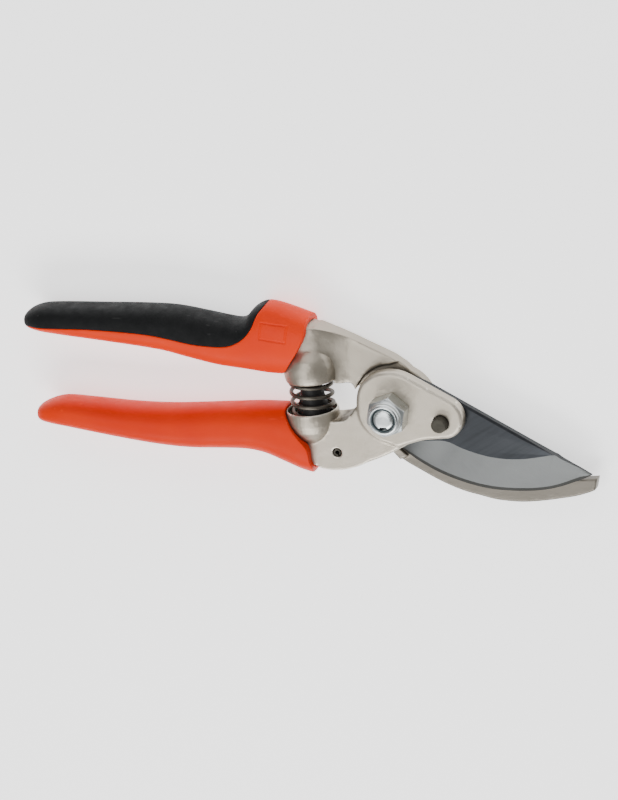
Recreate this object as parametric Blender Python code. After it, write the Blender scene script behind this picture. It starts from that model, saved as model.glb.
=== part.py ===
"""Bypass pruning shears, modelled closed, lying flat with the pivot bolt's head downwards.

Frame: the origin is on the pivot axis at the flat underside of the bolt head, +X points to the
blade's tip, +Z goes up through the bolt to the nut. The blade turns with the lower lever, the
hook with the upper lever. Lengths are in millimetres until a mesh is made.
"""
import math

import bmesh
import bpy
from mathutils import Matrix, Vector

MM = 0.001                      # one millimetre in metres

# Driving dimensions: the stack of flat pieces along the pivot axis, bottom to top
GAP = 0.1                       # between flat faces that lie on each other
FIT = 0.3                       # between pieces that fit inside each other
HEAD_TOP = 3.0
WASHER_TOP = 4.0 - GAP
HOOK_BOTTOM = 4.0
HOOK_FLAT = 8.5 - GAP           # machined flat that the blade slides on
HOOK_CAST = 9.75                # unmachined face round that flat
BLADE_BOTTOM = 8.5
BLADE_TOP = 11.5 - GAP
EAR_BOTTOM = 11.5
LEVER_FACE = 15.5
EAR_FACE = 16.0
NUT_TOP = 25.3
MIDDLE = 10.0                   # plane halfway through both handles

# Round pieces on the pivot axis
BOLT_R = 4.0
HOLE_R = BOLT_R + FIT
HUB_R = 14.3
HEX_ACROSS = 13.0
WASHER_R = 8.5

# The ear: the lower lever's plate above the blade
EAR_CENTRE = (0.3, 0.5)
EAR_R = 14.2
EAR_EDGE_ANGLE = 58.7           # direction that the ear's straight upper edge faces
LOBE_CENTRE = (18.45, -2.8)
LOBE_R = 7.65
BOSS_R = 12.9
RIVET_AT = (18.0, -4.2)
RIVET_R = 2.7
ROLL_PIN_AT = (-21.5, -15.4)
ROLL_PIN_R = 1.5
BLOCK_BOTTOM = 2.5              # underside of the lower lever's thick part

# Spring and the two round cups that hold it
LOWER_CUP_X = -30.7
UPPER_CUP_X = -29.5
CUP_BORE_R = 8.7
LOWER_CUP_FLOOR = -5.5
UPPER_CUP_FLOOR = 16.5
SPRING_X = -30.1
SPRING_R = 7.2                  # to the middle of the wire
WIRE_R = 0.75
SPRING_TURNS = 8

ARC_STEP = 6.0                  # degrees between the points of an arc
GRIP_POINTS = 24                # points round a grip
TANG_POINTS = 16                # points round the bar inside it

STEEL = ("nickel_plated_steel", (0.60, 0.57, 0.52), 0.38, 0.9)
BLADE_STEEL = ("blade_steel", (0.25, 0.26, 0.27), 0.35, 0.9)
RIVET_STEEL = ("rivet_steel", (0.10, 0.09, 0.07), 0.5, 0.8)
ZINC = ("zinc_plated_steel", (0.66, 0.68, 0.68), 0.25, 0.95)
NYLON = ("nylon", (0.10, 0.12, 0.13), 0.5, 0.0)
SPRING_STEEL = ("spring_steel", (0.06, 0.055, 0.05), 0.35, 0.85)
BLACK_RUBBER = ("black_rubber", (0.012, 0.012, 0.012), 0.7, 0.0)
ORANGE_SLEEVE = ("orange_sleeve", (0.80, 0.07, 0.01), 0.42, 0.0)
ORANGE_SHELL = ("orange_shell", (0.85, 0.08, 0.01), 0.45, 0.0)
BLACK_PAD = ("black_pad", (0.02, 0.022, 0.024), 0.65, 0.0)


# ---------------------------------------------------------------- outlines

def arc(centre, radius, start, stop):
    """Points on an arc in the XY plane, angles in degrees, both ends included."""
    count = max(2, int(abs(stop - start) / ARC_STEP) + 1)
    points = []
    for i in range(count + 1):
        angle = math.radians(start + (stop - start) * i / count)
        x = centre[0] + radius * math.cos(angle)
        y = centre[1] + radius * math.sin(angle)
        points.append((x, y))
    return points


def spline(knots, per_span=3):
    """A smooth curve through the knots, without its last point."""
    points = []
    last = len(knots) - 1
    for i in range(last):
        p1 = Vector(knots[i])
        p2 = Vector(knots[i + 1])
        p0 = Vector(knots[i - 1]) if i > 0 else 2 * p1 - p2
        p3 = Vector(knots[i + 2]) if i + 2 <= last else 2 * p2 - p1
        for k in range(per_span):
            t = k / per_span
            straight = p1 + (p2 - p1) * t
            pull_start = (p2 - p0) / 2 - (p2 - p1)
            pull_end = (p3 - p1) / 2 - (p2 - p1)
            point = straight + pull_start * (t * (1 - t) ** 2) - pull_end * (t * t * (1 - t))
            points.append(tuple(point))
    return points


def height_at(knots, x):
    """The value at x of the smooth curve through (x, value) knots, which rise in x."""
    if x <= knots[0][0]:
        return knots[0][1]
    if x >= knots[-1][0]:
        return knots[-1][1]
    i = max(k for k in range(len(knots) - 1) if knots[k][0] <= x)
    slopes = []
    for k in (i, i + 1):
        before = knots[max(k - 1, 0)]
        after = knots[min(k + 1, len(knots) - 1)]
        slopes.append((after[1] - before[1]) / (after[0] - before[0]))
    (x1, y1), (x2, y2) = knots[i], knots[i + 1]
    width = x2 - x1
    t = (x - x1) / width
    rise = y2 - y1
    blend = t * t * (3 - 2 * t)
    bend = width * (slopes[0] * t * (1 - t) ** 2 - slopes[1] * t * t * (1 - t))
    return y1 + rise * blend + bend


# ---------------------------------------------------------------- building blocks

def make_material(spec):
    name, colour, roughness, metallic = spec
    found = bpy.data.materials.get(name)
    if found:
        return found
    material = bpy.data.materials.new(name)
    material.use_nodes = True
    shader = material.node_tree.nodes["Principled BSDF"]
    shader.inputs["Base Color"].default_value = (*colour, 1.0)
    shader.inputs["Roughness"].default_value = roughness
    shader.inputs["Metallic"].default_value = metallic
    material.diffuse_color = (*colour, 1.0)
    return material


def finish_mesh(name, bm, spec, origin=(0, 0, 0), smooth=True):
    """Turn a bmesh in millimetres into an object whose origin is at the given place."""
    bmesh.ops.recalc_face_normals(bm, faces=bm.faces)
    bmesh.ops.translate(bm, verts=bm.verts, vec=-Vector(origin))
    bmesh.ops.scale(bm, verts=bm.verts, vec=(MM, MM, MM))
    mesh = bpy.data.meshes.new(name)
    bm.to_mesh(mesh)
    bm.free()
    if smooth:
        mesh.shade_smooth()
        mesh.set_sharp_from_angle(angle=math.radians(35))
    mesh.materials.append(make_material(spec))
    piece = bpy.data.objects.new(name, mesh)
    piece.location = Vector(origin) * MM
    bpy.context.collection.objects.link(piece)
    return piece


def prism(outline, bottom, top):
    """A straight-sided plate as a bmesh, with its top outline edges marked for rounding."""
    bm = bmesh.new()
    mark = bm.edges.layers.float.new("bevel_weight_edge")
    low = [bm.verts.new((x, y, bottom)) for x, y in outline]
    high = [bm.verts.new((x, y, top)) for x, y in outline]
    bm.faces.new(list(reversed(low)))
    upper = bm.faces.new(high)
    count = len(outline)
    for i in range(count):
        j = (i + 1) % count
        bm.faces.new((low[i], low[j], high[j], high[i]))
    for edge in upper.edges:
        edge[mark] = 1.0
    return bm


def plate(name, outline, bottom, top, spec, rounding=0.0, both=False, origin=(0, 0, 0)):
    """A flat plate whose top edges, or both top and bottom edges, are rounded."""
    bm = prism(outline, bottom, top)
    if both:
        mark = bm.edges.layers.float["bevel_weight_edge"]
        for edge in bm.edges:
            if all(abs(v.co.z - bottom) < 1e-6 for v in edge.verts):
                edge[mark] = 1.0
    piece = finish_mesh(name, bm, spec, origin)
    if rounding:
        add_rounding(piece, rounding)
    return piece


def add_rounding(piece, width, segments=2):
    bevel = piece.modifiers.new("rounding", "BEVEL")
    bevel.limit_method = "WEIGHT"
    bevel.width = width * MM
    bevel.segments = segments


def loft(rings):
    """A closed bmesh through rings of equal point count, capped at both ends."""
    bm = bmesh.new()
    rows = [[bm.verts.new(point) for point in ring] for ring in rings]
    count = len(rows[0])
    for row, after in zip(rows, rows[1:]):
        for i in range(count):
            j = (i + 1) % count
            bm.faces.new((row[i], row[j], after[j], after[i]))
    bm.faces.new(list(reversed(rows[0])))
    bm.faces.new(rows[-1])
    return bm


def turned(profile, centre, axis, sides=40):
    """Turn a profile of (radius, distance along the axis) points into a closed bmesh.

    The profile starts and ends on the axis. centre is the axis's place in the other two
    coordinates: (x, y) for axis "Z", (x, z) for axis "Y".
    """
    bm = bmesh.new()
    rows = []
    for radius, along in profile:
        if radius == 0:
            ring = [(0.0, 0.0)]
        else:
            ring = []
            for i in range(sides):
                angle = 2 * math.pi * i / sides
                ring.append((radius * math.cos(angle), radius * math.sin(angle)))
        row = []
        for u, v in ring:
            if axis == "Z":
                place = (centre[0] + u, centre[1] + v, along)
            else:
                place = (centre[0] + u, along, centre[1] + v)
            row.append(bm.verts.new(place))
        rows.append(row)
    for row, after in zip(rows, rows[1:]):
        for i in range(sides):
            j = (i + 1) % sides
            corners = []
            for vert in (row[i % len(row)], row[j % len(row)], after[j % len(after)], after[i % len(after)]):
                if vert not in corners:
                    corners.append(vert)
            bm.faces.new(corners)
    return bm


def as_guide(piece):
    piece.hide_render = True
    piece.display_type = "WIRE"
    return piece


def combine(piece, other, operation):
    modifier = piece.modifiers.new(operation.lower(), "BOOLEAN")
    modifier.operation = operation
    modifier.solver = "EXACT"
    modifier.object = as_guide(other)


def cylinder(name, radius, centre, start, stop, axis="Z", sides=40):
    profile = [(0, start), (radius, start), (radius, stop), (0, stop)]
    return finish_mesh(name, turned(profile, centre, axis, sides), STEEL)


# ---------------------------------------------------------------- grips and tangs

UPPER_TOP = [(-134.0, 32.6), (-133.0, 35.2), (-129.5, 37.5), (-124.5, 38.4), (-105, 38.2), (-88, 37.9),
             (-77, 37.2), (-66, 35.0), (-58, 33.2), (-53.5, 32.6), (-50.5, 33.9), (-48, 36.6),
             (-45, 38.6), (-42, 39.1), (-36, 37.3), (-24, 32.4)]
UPPER_BOTTOM = [(-134.0, 32.6), (-133.0, 30.8), (-129.0, 29.4), (-122.5, 28.3), (-102.5, 25.4),
                (-82.5, 22.1), (-72.5, 19.3), (-62.5, 16.7), (-52.5, 15.1), (-42.5, 13.3), (-24, 12.6)]
UPPER_THICK = [(-134.0, 0.6), (-133.0, 3.4), (-129.5, 6.0), (-124, 7.6), (-100, 8.6), (-70, 9.2),
               (-50, 9.6), (-36, 9.9), (-24, 9.9)]
UPPER_FRONT = [(-27.3, 42), (-27.4, 34), (-27.7, 31), (-28.3, 27.8), (-31.2, 22.8), (-34.8, 17.8),
               (-39.1, 11.5), (-41.1, 8)]
PAD_EDGE = [(-140, 31.9), (-130, 31.6), (-110, 31.6), (-90, 30.2), (-80, 28.6), (-70, 26.3), (-60.5, 25.3),
            (-55, 25.8), (-50.5, 28.0), (-47, 31.7), (-44.8, 36.2), (-42, 39.5), (-40, 43)]

LOWER_TOP = [(-133.4, -2.2), (-132.4, 0.2), (-128.5, 2.4), (-122.9, 3.6), (-112.5, 2.7), (-97, 1.1),
             (-82.5, 0.5), (-62.5, 1.0), (-50, 1.3), (-39, 1.0), (-24, 0.6)]
LOWER_BOTTOM = [(-133.4, -2.2), (-132.4, -4.3), (-128.5, -5.5), (-122.5, -6.5), (-102.5, -10.5),
                (-88, -13.1), (-76, -14.4), (-62.5, -14.6), (-54, -15.0), (-47.5, -16.6), (-41, -19.7),
                (-34.2, -22.9), (-24, -25.5)]
LOWER_THICK = [(-133.4, 0.6), (-132.4, 3.4), (-128.5, 5.8), (-122, 7.4), (-100, 8.4), (-60, 9.1), (-42, 9.8),
               (-24, 9.9)]
LOWER_FRONT = [(-39.6, 8), (-39.2, 2), (-38.9, -0.5), (-37.6, -3), (-35.9, -6.2), (-33.9, -9.1), (-31.6, -12.2),
               (-31.0, -14.5), (-31.0, -18.0), (-30.5, -20.8), (-31.6, -24), (-33, -28)]


def grip_rings(top, bottom, thick, start, stop, inset, roundness=2.5, count=GRIP_POINTS):
    """Rounded cross-sections of a grip at stations along X; inset is a function of x."""
    rings = []
    stations = []
    x = start
    while x < stop - 0.01:
        stations.append(x)
        from_end = x - start
        x += 0.8 if from_end < 2 else (2.5 if from_end < 10 else 5.0)
    stations.append(stop)
    for x in stations:
        high = height_at(top, x) - inset(x)
        low = height_at(bottom, x) + inset(x)
        half = max((high - low) / 2, 0.25)
        deep = max(height_at(thick, x) - inset(x), 0.25)
        ring = []
        for i in range(count):
            angle = 2 * math.pi * i / count
            c, s = math.cos(angle), math.sin(angle)
            y = (high + low) / 2 + half * math.copysign(abs(c) ** (2 / roundness), c)
            z = MIDDLE + deep * math.copysign(abs(s) ** (2 / roundness), s)
            ring.append((x, y, z))
        rings.append(ring)
    return rings


def grip_body(name, top, bottom, thick, spec, front):
    """The outer shape of a grip, cut at its slanting front edge."""
    rings = grip_rings(top, bottom, thick, top[0][0], -24, lambda x: 0.0)
    body = finish_mesh(name, loft(rings), spec)
    edge = spline(front) + [front[-1]]
    outline = [(0, edge[-1][1]), (0, edge[0][1])] + edge
    cutter = plate(name + "_front_cut", outline, -5, 25, spec)
    combine(body, cutter, "DIFFERENCE")
    return body


def tang(name, top, bottom, front_x, extra):
    """The lever's bar inside a grip, grown by extra for the grip's bore."""
    def inset(x):
        return 2.6 + 1.2 * min(1.0, max(0.0, (-40 - x) / 60)) - extra

    thick = [(-134.0, 4.6), (-118, 4.8 + 3.8), (-60, 6.4 + 3.2), (-42, 7.0 + 2.6), (-34, 5.8 + 2.6),
             (-24, 4.3 + 2.6)]
    rings = grip_rings(top, bottom, thick, -118 - extra, front_x, inset, 4.0, TANG_POINTS)
    return finish_mesh(name, loft(rings), STEEL)


def dome(name, centre_x, profile, grow, spec):
    shape = [(radius + grow if radius else 0, along) for radius, along in profile]
    return finish_mesh(name, turned(shape, (centre_x, MIDDLE), "Y"), spec)


LOWER_DOME = [(0, -0.4), (9.2, -0.4), (9.5, -1.2), (9.55, -3), (9.4, -5.2), (8.7, -7.6), (7.3, -10), (5.3, -12.2),
              (3.0, -13.7), (0, -14.2)]
UPPER_DOME = [(0, 10.3), (9.0, 10.3), (9.4, 11.4), (9.6, 13.4), (9.4, 16.2), (8.5, 19.1), (6.6, 21.8),
              (3.6, 23.6), (0, 24.2)]


# ---------------------------------------------------------------- lower lever, blade and their pieces

def ear_outline():
    lobe_top = arc(LOBE_CENTRE, LOBE_R, -90, EAR_EDGE_ANGLE)
    round_end = arc(EAR_CENTRE, EAR_R, EAR_EDGE_ANGLE, 138)
    left = spline([(-10.25, 10.0), (-11.7, 7.0), (-12.4, 4.0), (-12.75, 0.8)])[1:]
    boss = arc((0.15, 0.4), BOSS_R, 182, 258)
    lower = spline([boss[-1], (1.0, -13.6), (4.65, -12.6), (9.65, -11.2), (12.95, -10.75), (18.45, -10.45)])[1:]
    return lobe_top + round_end + left + boss + lower


BOTTOM_EDGE = [(-29.9, -19.6), (-28.6, -21.0), (-25.3, -21.9), (-22, -22.1), (-19.2, -21.8), (-15.3, -20.9),
               (-10.3, -19.1), (-5.3, -17.3), (-0.3, -15.1), (4.6, -12.7)]
TOP_EDGE = [(-13.2, 1.2), (-15.2, -1.4), (-17.2, -3.2), (-20.5, -3.9), (-26, -3.9)]
BLOCK_WALL = [(-10.8, -19.0), (-11.4, -16.5), (-12.0, -13.5), (-12.4, -11), (-13.2, -8.4), (-14.3, -5.5),
              (-15.1, -2.4), (-15.4, -1.7)]


def make_blade_lever():
    lever = plate("blade_lever", ear_outline(), EAR_BOTTOM, EAR_FACE, STEEL, rounding=1.3)
    web_outline = spline(BOTTOM_EDGE) + [(4.6, -12.7), (1, -9), (-7.5, 0)] + spline(TOP_EDGE)
    web_outline += [(-26, -3.9), (-29.9, -9)]
    web = plate("web_shape", web_outline, EAR_BOTTOM, LEVER_FACE, STEEL, rounding=0.8)
    block_outline = spline(BOTTOM_EDGE[:6] + [(-10.8, -19.25)]) + spline(BLOCK_WALL)
    block_outline += spline(TOP_EDGE[1:]) + [(-26, -3.9), (-29.9, -9)]
    block = plate("block_shape", block_outline, BLOCK_BOTTOM, LEVER_FACE, STEEL, rounding=0.8, both=True)
    combine(lever, cylinder("ear_hole_cut", HOLE_R, (0, 0), 5, 20), "DIFFERENCE")
    combine(lever, cylinder("rivet_hole_cut", RIVET_R + FIT / 2, RIVET_AT, 5, 20), "DIFFERENCE")
    combine(lever, web, "UNION")
    combine(lever, block, "UNION")
    combine(lever, cylinder("pin_hole_cut", ROLL_PIN_R + FIT / 2, ROLL_PIN_AT, 0, 20, sides=24), "DIFFERENCE")
    combine(lever, tang("lower_tang_shape", LOWER_TOP, LOWER_BOTTOM, -25.5, 0.0), "UNION")
    combine(lever, dome("lower_dome_shape", LOWER_CUP_X, LOWER_DOME, 0, STEEL), "UNION")
    combine(lever, cylinder("lower_cup_cut", CUP_BORE_R, (LOWER_CUP_X, MIDDLE), LOWER_CUP_FLOOR, 2, "Y"),
            "DIFFERENCE")
    return lever


SPINE_DISTANCE = 14.1           # from the pivot axis to the blade's straight back
CUTTING_EDGE = [(0.8, -16.4), (3.4, -18.7), (7.0, -21.4), (12, -24.5), (17, -26.9), (22, -28.8), (27, -30.3),
                (32, -31.3), (37, -31.8), (42, -32.0), (47, -31.9), (52, -31.4), (57, -30.3), (62, -28.7),
                (66, -27.3), (69.0, -25.9)]
BEVEL_TOP = [(-2.6, -12.3), (4, -12.6), (10, -12.4), (17.5, -12.6), (23, -15.1), (28, -17.0), (33, -18.4),
             (38, -19.1), (43, -19.3), (48, -18.9), (53, -18.2), (56.5, -17.8), (59, -19.5), (62, -21.4),
             (65.5, -23.5), (68.7, -25.6)]
BEVEL_FLAT_KNOTS = 12           # bevel_top knots that lie on the blade's flat face
EDGE_TOP = BLADE_BOTTOM + 0.35
TIP_TOP = BLADE_BOTTOM + 0.7


def make_blade():
    """A flat plate with a hollow-free ground bevel down to a thin cutting edge."""
    per_span = 3
    lower = spline(CUTTING_EDGE, per_span) + [CUTTING_EDGE[-1]]
    upper = spline(BEVEL_TOP, per_span) + [BEVEL_TOP[-1]]
    flat_count = (BEVEL_FLAT_KNOTS - 1) * per_span + 1
    bm = bmesh.new()
    edge_low = [bm.verts.new((x, y, BLADE_BOTTOM)) for x, y in lower]
    edge_high = [bm.verts.new((x, y, EDGE_TOP)) for x, y in lower]
    ground = []
    falls = []
    for i, (x, y) in enumerate(upper):
        z = BLADE_TOP
        if i >= flat_count:
            share = (i - flat_count + 1) / (len(upper) - flat_count)
            z = BLADE_TOP + (TIP_TOP - BLADE_TOP) * share
            falls.append(bm.verts.new((x, y, BLADE_BOTTOM)))
        ground.append(bm.verts.new((x, y, z)))
    for i in range(len(lower) - 1):
        bm.faces.new((edge_low[i], edge_low[i + 1], edge_high[i + 1], edge_high[i]))
        bm.faces.new((edge_high[i], edge_high[i + 1], ground[i + 1]))
        bm.faces.new((edge_high[i], ground[i + 1], ground[i]))
    spine = [upper[flat_count - 1]]
    angle = math.radians(EAR_EDGE_ANGLE)
    for along in (36, 20, 8):
        x = SPINE_DISTANCE * math.cos(angle) + along * math.sin(angle)
        y = SPINE_DISTANCE * math.sin(angle) - along * math.cos(angle)
        spine.append((x, y))
    spine += arc((0, 0), 13.4, EAR_EDGE_ANGLE + 6, 252)
    back_low = [bm.verts.new((x, y, BLADE_BOTTOM)) for x, y in spine]
    back_high = [bm.verts.new((x, y, BLADE_TOP)) for x, y in spine[1:]]
    high_chain = [ground[flat_count - 1]] + back_high + [ground[0]]
    heel = edge_low[0]
    low_chain = back_low + [heel]
    for i in range(len(low_chain) - 2):
        bm.faces.new((low_chain[i + 1], low_chain[i], high_chain[i], high_chain[i + 1]))
    bm.faces.new((heel, low_chain[-2], high_chain[-2], high_chain[-1], edge_high[0]))
    falls_chain = [back_low[0]] + falls
    high_falls = ground[flat_count - 1:]
    for i in range(len(falls_chain) - 1):
        bm.faces.new((falls_chain[i], falls_chain[i + 1], high_falls[i + 1], high_falls[i]))
    bm.faces.new((falls_chain[-1], edge_low[-1], edge_high[-1], high_falls[-1]))
    bm.faces.new(high_chain[:-1] + ground[:flat_count - 1])
    bm.faces.new(list(reversed(falls_chain)) + back_low[1:] + edge_low)
    blade = finish_mesh("blade", bm, BLADE_STEEL)
    combine(blade, cylinder("blade_hole_cut", HOLE_R, (0, 0), 5, 20), "DIFFERENCE")
    combine(blade, cylinder("blade_rivet_cut", RIVET_R + FIT / 2, RIVET_AT, 5, 20), "DIFFERENCE")
    return blade


def make_fasteners():
    """Pivot bolt, its washer, the locking nut with its insert, the rivet and the roll pin."""
    hexagon = [(HEX_ACROSS / math.sqrt(3) * math.cos(math.radians(17 + 60 * k)),
                HEX_ACROSS / math.sqrt(3) * math.sin(math.radians(17 + 60 * k))) for k in range(6)]
    bolt = plate("pivot_bolt", hexagon, 0.0, HEAD_TOP, ZINC)
    shank = [(0, 1.0), (BOLT_R, 1.0), (BOLT_R, NUT_TOP - 1.0), (BOLT_R - 0.9, NUT_TOP - 0.2), (0, NUT_TOP)]
    combine(bolt, finish_mesh("shank_shape", turned(shank, (0, 0), "Z"), ZINC), "UNION")

    washer = cylinder("head_washer", WASHER_R, (0, 0), HEAD_TOP + GAP, WASHER_TOP)
    washer.data.materials[0] = make_material(ZINC)
    combine(washer, cylinder("washer_hole_cut", HOLE_R, (0, 0), 0, 6), "DIFFERENCE")

    start = EAR_FACE + GAP
    nut = plate("pivot_nut", hexagon, start, NUT_TOP, ZINC)
    crown = [(0, start), (7.0, start), (7.55, start + 0.6), (7.55, start + 5.6), (6.9, start + 6.5),
             (5.9, start + 6.9), (5.7, NUT_TOP - 0.9), (5.2, NUT_TOP - 0.2), (4.7, NUT_TOP), (0, NUT_TOP)]
    combine(nut, finish_mesh("crown_shape", turned(crown, (0, 0), "Z"), ZINC), "INTERSECT")
    bore = [(0, 10), (HOLE_R, 10), (HOLE_R, start + 6.6), (5.1, start + 6.6), (5.1, NUT_TOP - 0.8),
            (HOLE_R, NUT_TOP - 0.8), (HOLE_R, 30), (0, 30)]
    combine(nut, finish_mesh("nut_bore_cut", turned(bore, (0, 0), "Z"), ZINC), "DIFFERENCE")

    insert = cylinder("nut_insert", 5.0, (0, 0), start + 6.7, NUT_TOP - 0.9)
    insert.data.materials[0] = make_material(NYLON)
    combine(insert, cylinder("insert_hole_cut", BOLT_R + 0.1, (0, 0), 10, 30), "DIFFERENCE")

    rivet_profile = [(0, HOOK_FLAT + 0.4), (RIVET_R, HOOK_FLAT + 0.4), (RIVET_R, EAR_FACE - 0.6),
                     (RIVET_R - 0.25, EAR_FACE - 0.3), (0, EAR_FACE - 0.3)]
    finish_mesh("blade_rivet", turned(rivet_profile, RIVET_AT, "Z"), RIVET_STEEL)

    slit = 14
    outer = arc(ROLL_PIN_AT, ROLL_PIN_R, slit, 360 - slit)
    inner = arc(ROLL_PIN_AT, ROLL_PIN_R - 0.4, 360 - slit, slit)
    plate("roll_pin", outer[::3] + [outer[-1]] + inner[::3] + [inner[-1]], 0.6, LEVER_FACE - 0.1, RIVET_STEEL)


# ---------------------------------------------------------------- upper lever with the hook

HOOK_OUTER = [(-0.6, -20.2), (2, -22.1), (7, -25.2), (12, -28.2), (17, -30.7), (22, -32.7), (27, -34.1),
              (32, -35.5), (37, -36.2), (42, -36.5), (47, -36.3), (52, -35.8), (57, -35.1), (62, -34.3),
              (67, -32.9), (69.2, -32.0)]
HOOK_INNER = [(70.4, -27.7), (67, -27.9), (60, -28.0), (52, -28.4), (44, -28.6), (36, -27.8), (28, -25.6),
              (20, -21.8), (14, -16.8), (11.7, -8.2)]
ROOT_EDGE = [(-9.75, -10.45), (-7.2, -13.0), (-4.8, -15.0), (-2.9, -17.4), (-0.6, -20.2)]
NECK_TOP = [(2.6, 16.3), (0, 18.1), (-7.3, 21.8), (-14.4, 25.4), (-22.3, 29.1), (-25.6, 30.5)]
NECK_BOTTOM = [(-25.6, 12), (-20.4, 8.9), (-16.5, 8.7), (-14.9, 7.9), (-14.3, 6.3)]
NECK_FACE = [(-30, 15.1), (-26, 14.6), (-22, 12.6), (-18, 10.7), (-14, 9.9), (4, HOOK_CAST)]
NECK_BACK = [(-30, 4.9), (-26, 4.5), (-18, 4.1), (-14, HOOK_BOTTOM), (4, HOOK_BOTTOM)]
RECESS_R = 15.3
ROOT_BLOCK = [(-6.0, -13.9), (-1.5, -14.7), (0.1, -16.4), (2.5, -18.8), (-0.6, -20.2), (-2.9, -17.4),
              (-4.8, -15.0)]


def make_hook_lever():
    outline = arc((0, 0), HUB_R, -35, 227)[:-1] + spline(ROOT_EDGE) + spline(HOOK_OUTER)
    outline += [HOOK_OUTER[-1]] + spline(HOOK_INNER)[:-1]
    lever = plate("hook_lever", outline, HOOK_BOTTOM, HOOK_FLAT, STEEL, rounding=0.5)
    combine(lever, cylinder("hub_hole_cut", HOLE_R, (0, 0), 0, 20), "DIFFERENCE")

    wall = arc((0, 0), RECESS_R, 158, 92)
    neck_outline = spline(NECK_TOP) + [NECK_TOP[-1]] + spline(NECK_BOTTOM) + wall
    bm = prism(neck_outline, 0.0, 1.0)
    for x in range(-25, 3, 2):
        bmesh.ops.bisect_plane(bm, geom=bm.verts[:] + bm.edges[:] + bm.faces[:], plane_co=(x, 0, 0),
                               plane_no=(1, 0, 0))
    for vert in bm.verts:
        low = height_at(NECK_BACK, vert.co.x)
        high = height_at(NECK_FACE, vert.co.x)
        vert.co.z = low + (high - low) * vert.co.z
    neck = finish_mesh("neck_shape", bm, STEEL)
    combine(lever, neck, "UNION")

    block = plate("root_block_shape", ROOT_BLOCK, HOOK_BOTTOM + 0.5, HOOK_CAST, STEEL, rounding=0.3)
    combine(lever, block, "UNION")
    link_outline = [(0, 9), (8, 11), (6.4, 12.9), (4.4, 15.0), (2.4, 16.4)] + arc((0, 0), RECESS_R + 1, 95, 150)
    link = plate("neck_link_shape", link_outline + [(-9, 3)], HOOK_BOTTOM, HOOK_FLAT, STEEL)
    combine(lever, link, "UNION")
    combine(lever, tang("upper_tang_shape", UPPER_TOP, UPPER_BOTTOM, -24.2, 0.0), "UNION")
    combine(lever, dome("upper_dome_shape", UPPER_CUP_X, UPPER_DOME, 0, STEEL), "UNION")
    combine(lever, cylinder("upper_cup_cut", CUP_BORE_R, (UPPER_CUP_X, MIDDLE), 5, UPPER_CUP_FLOOR, "Y"),
            "DIFFERENCE")
    return lever


# ---------------------------------------------------------------- grips

def make_lower_grip():
    grip = grip_body("lower_grip", LOWER_TOP, LOWER_BOTTOM, LOWER_THICK, ORANGE_SLEEVE, LOWER_FRONT)
    combine(grip, tang("lower_bore_cut", LOWER_TOP, LOWER_BOTTOM, -24, FIT), "DIFFERENCE")
    combine(grip, dome("lower_dome_cut", LOWER_CUP_X, LOWER_DOME, FIT, STEEL), "DIFFERENCE")


def pad_region(name, lift):
    """Everything above the pad's lower edge, moved up by lift."""
    edge = [(x, y + lift) for x, y in PAD_EDGE]
    outline = spline(edge) + [edge[-1], (-40, 60), (-140, 60)]
    return plate(name, outline, -5, 25, BLACK_PAD)


def make_upper_grip():
    shell = grip_body("upper_grip_shell", UPPER_TOP, UPPER_BOTTOM, UPPER_THICK, ORANGE_SHELL, UPPER_FRONT)
    combine(shell, pad_region("pad_recess_cut", 0.0), "DIFFERENCE")
    combine(shell, tang("upper_bore_cut", UPPER_TOP, UPPER_BOTTOM, -24, FIT), "DIFFERENCE")
    combine(shell, dome("upper_dome_cut", UPPER_CUP_X, UPPER_DOME, FIT, STEEL), "DIFFERENCE")

    pad = grip_body("upper_grip_pad", UPPER_TOP, UPPER_BOTTOM, UPPER_THICK, BLACK_PAD, UPPER_FRONT)
    combine(pad, pad_region("pad_part_shape", FIT), "INTERSECT")
    combine(pad, tang("pad_bore_cut", UPPER_TOP, UPPER_BOTTOM, -24, FIT), "DIFFERENCE")


# ---------------------------------------------------------------- spring, buffer and catch

def make_spring():
    """A compression spring along Y with closed end turns, swept round a helix."""
    sides = 8
    steps_per_turn = 20
    low = LOWER_CUP_FLOOR + 0.3 + WIRE_R
    high = UPPER_CUP_FLOOR - 0.3 - WIRE_R
    closed_pitch = 2 * WIRE_R + 0.25
    pitch = (high - low - 2 * closed_pitch) / (SPRING_TURNS - 2)
    rings = []
    for i in range(int(SPRING_TURNS * steps_per_turn) + 1):
        turn = i / steps_per_turn
        rise = min(turn, 1) * closed_pitch + min(max(turn - 1, 0), SPRING_TURNS - 2) * pitch
        rise += max(turn - SPRING_TURNS + 1, 0) * closed_pitch
        angle = 2 * math.pi * turn
        ring = []
        for k in range(sides):
            around = 2 * math.pi * k / sides
            radius = SPRING_R + WIRE_R * math.cos(around)
            ring.append((SPRING_X + radius * math.cos(angle), low + rise + WIRE_R * math.sin(around),
                         MIDDLE + radius * math.sin(angle)))
        rings.append(ring)
    finish_mesh("main_spring", loft(rings), SPRING_STEEL)


def make_buffer():
    floor = LOWER_CUP_FLOOR + 0.1
    profile = [(0, floor), (5.8, floor), (5.8, floor + 4), (4.8, 2.5), (3.7, 8.6), (3.0, 10.6), (0, 11.0)]
    finish_mesh("rubber_buffer", turned(profile, (SPRING_X, MIDDLE), "Y", 28), BLACK_RUBBER)


CATCH_REACH = 15.5              # from the roll pin to the middle of the catch's nose
CATCH_REST = 14.0               # direction of the nose at rest, degrees above +X


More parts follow.
